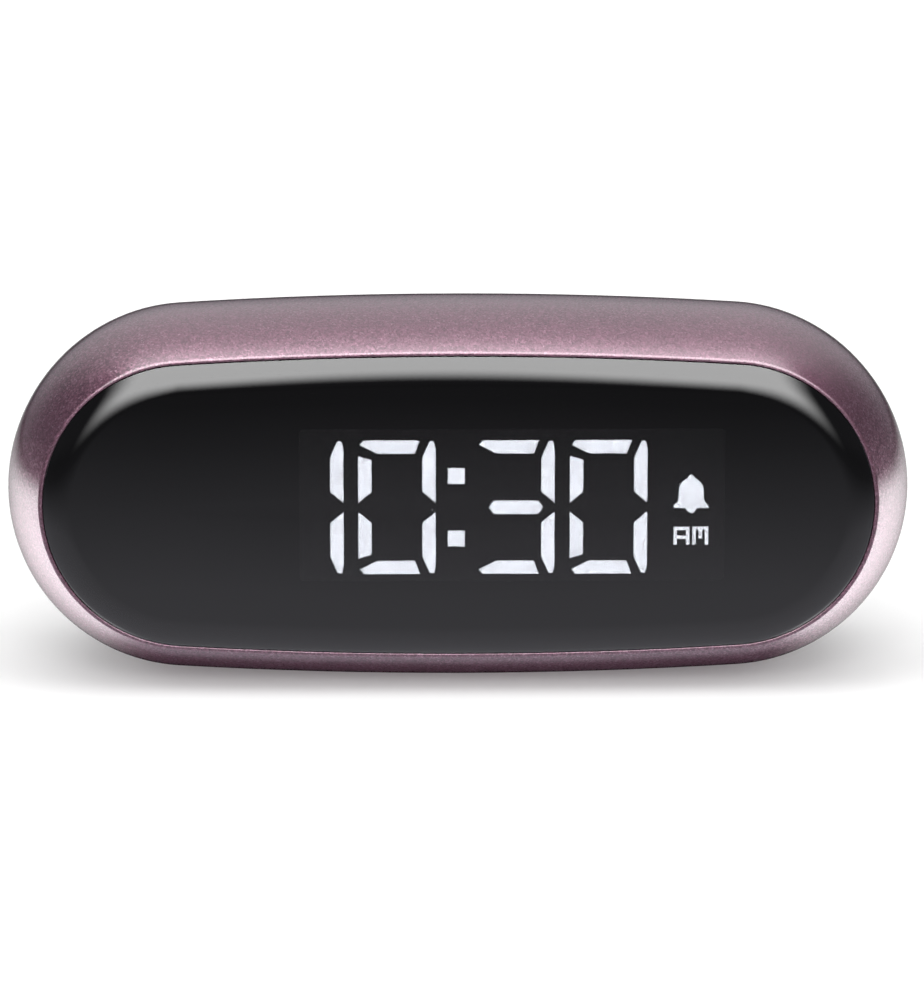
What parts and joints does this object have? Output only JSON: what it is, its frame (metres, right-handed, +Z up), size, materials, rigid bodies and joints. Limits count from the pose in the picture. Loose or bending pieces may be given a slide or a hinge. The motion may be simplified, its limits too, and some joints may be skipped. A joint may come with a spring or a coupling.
{
  "type": "digital alarm clock",
  "caption": "Pill-shaped battery desk alarm clock with a domed smoked lens over a lit digital display, rear buttons, a sliding alarm switch and a hinged battery door.",
  "frame": {"origin": "middle of the clock's bounding box on the surface that it stands on", "axes": "+X to the right as seen from the front, along the clock's length; +Y from the display to the back; +Z up"},
  "size_m": [0.12, 0.0412, 0.051],
  "materials": {
    "casing_paint": "pink-mauve metallic paint with fine flake",
    "smoked_lens": "clear smoked acrylic, polished",
    "black_film": "printed black film",
    "adhesive": "black double-sided tape",
    "polariser": "grey polarising film",
    "display_glass": "thin float glass",
    "lit_segments": "white lit segments",
    "diffuser": "translucent white film",
    "clear_acrylic": "clear acrylic light guide",
    "led_white": "white light-emitting diodes with yellow phosphor",
    "conductive_rubber": "layered conductive rubber",
    "frame_plastic": "moulded white frame",
    "circuit_board": "green solder mask on glass-fibre board",
    "chip_resin": "black potting resin",
    "ceramic": "brown ceramic and black resistor bodies",
    "bright_steel": "plated steel",
    "spring_steel": "nickel-plated spring strip",
    "copper_foil": "copper foil",
    "wire_red": "red insulated wire",
    "wire_black": "black insulated wire",
    "ribbon_grey": "grey flat cable",
    "cell_wrap": "plain wrapped dry cell",
    "dark_plastic": "charcoal moulded plastic, fine texture",
    "button_plastic": "mauve moulded plastic",
    "foot_rubber": "dark grey rubber"
  },
  "bodies": {
    "clock_body": {"front_housing": "casing_paint", "rear_housing": "casing_paint", "front_lens": "smoked_lens", "lens_adhesive_ring": "adhesive", "mask_film": "black_film", "front_polariser": "polariser", "lcd_front_glass": "display_glass", "lcd_segments": "lit_segments", "lcd_rear_glass": "display_glass", "rear_polariser": "polariser", "diffuser_film": "diffuser", "light_guide": "clear_acrylic", "backlight_leds": "led_white", "reflector_film": "diffuser", "zebra_strip_upper": "conductive_rubber", "zebra_strip_lower": "conductive_rubber", "display_frame": "frame_plastic", "main_board": "circuit_board", "board_screws": "bright_steel", "clock_chip": "chip_resin", "quartz_crystal": "bright_steel", "board_capacitors": "ceramic", "board_resistors": "chip_resin", "board_connector": "frame_plastic", "ribbon_cable": "ribbon_grey", "key_board": "circuit_board", "key_board_screws": "bright_steel", "key_switch_bodies": "dark_plastic", "alarm_switch_body": "bright_steel", "buzzer": "dark_plastic", "buzzer_leads": "wire_black", "touch_foil": "copper_foil", "touch_spring": "spring_steel", "battery_lead_red": "wire_red", "battery_lead_black": "wire_black", "battery_upper": "cell_wrap", "battery_lower": "cell_wrap", "positive_contact": "spring_steel", "negative_contact": "spring_steel", "bridge_contact": "spring_steel", "control_plate": "dark_plastic", "case_screws": "bright_steel", "foot_front_left": "foot_rubber", "foot_front_right": "foot_rubber", "foot_rear_left": "foot_rubber", "foot_rear_right": "foot_rubber"},
    "set_button": {"set_button_cap": "button_plastic", "set_button_plunger": "dark_plastic"},
    "mode_button": {"mode_button_cap": "button_plastic", "mode_button_plunger": "dark_plastic"},
    "up_button": {"up_button_cap": "button_plastic", "up_button_plunger": "dark_plastic"},
    "down_button": {"down_button_cap": "button_plastic", "down_button_plunger": "dark_plastic"},
    "alarm_switch": {"alarm_switch_knob": "button_plastic"},
    "battery_cover": {"battery_door": "casing_paint"}
  },
  "joints": [
    {"name": "set_press", "type": "slide", "parent": "clock_body", "child": "set_button", "axis": [0, -1, 0], "range_m": [0, 0.0005], "stiffness_N_per_m": 300},
    {"name": "mode_press", "type": "slide", "parent": "clock_body", "child": "mode_button", "axis": [0, -1, 0], "range_m": [0, 0.0005], "stiffness_N_per_m": 300},
    {"name": "up_press", "type": "slide", "parent": "clock_body", "child": "up_button", "axis": [0, -1, 0], "range_m": [0, 0.0005], "stiffness_N_per_m": 300},
    {"name": "down_press", "type": "slide", "parent": "clock_body", "child": "down_button", "axis": [0, -1, 0], "range_m": [0, 0.0005], "stiffness_N_per_m": 300},
    {"name": "alarm_switch_slide", "type": "slide", "parent": "clock_body", "child": "alarm_switch", "axis": [0, 0, -1], "range_m": [0, 0.003]},
    {"name": "battery_door_hinge", "type": "hinge", "parent": "clock_body", "child": "battery_cover", "pos_m": [-0.0155, 0.01968, 0.0257], "axis": [0, 0, 1], "range_deg": [0, 75]}
  ]
}
